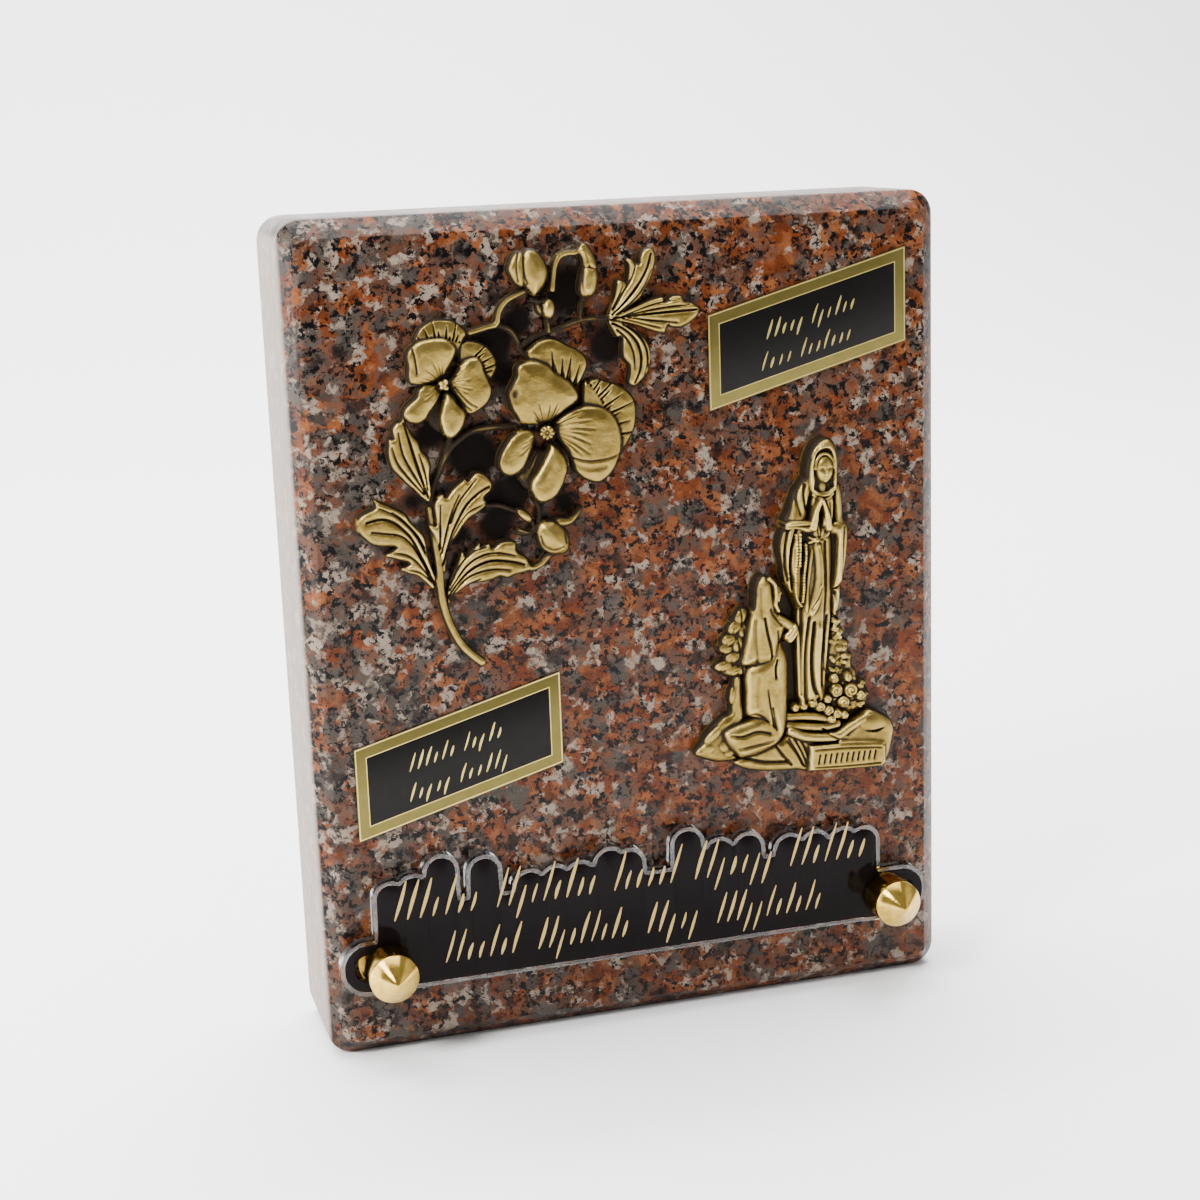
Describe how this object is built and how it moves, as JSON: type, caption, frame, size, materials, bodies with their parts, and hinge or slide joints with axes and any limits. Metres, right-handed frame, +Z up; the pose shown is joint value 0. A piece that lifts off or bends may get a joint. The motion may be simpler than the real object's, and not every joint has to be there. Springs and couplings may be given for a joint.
{
  "type": "memorial plaque",
  "caption": "Small standing memorial plaque: polished pink-grey granite slab with cast bronze flower and figure reliefs, foil stickers and an acrylic text plate on brass fixings.",
  "frame": {"origin": "middle of the slab's underside, halfway through its thickness", "axes": "+X to the right across the front, +Y from the front face to the back, +Z up"},
  "size_m": [0.12, 0.038, 0.15],
  "materials": {
    "granite": "polished",
    "antique_bronze": "antique, dark in its recesses",
    "polished_brass": "polished",
    "black_acrylic": "gloss",
    "printed_foil": "satin foil"
  },
  "bodies": {
    "root": {"granite_slab": "granite", "pansy_sprig": "antique_bronze", "figure_group": "antique_bronze", "text_plate": "black_acrylic", "fixing_left": "polished_brass", "fixing_right": "polished_brass", "sticker_upper": "printed_foil", "sticker_lower": "printed_foil"}
  },
  "joints": []
}
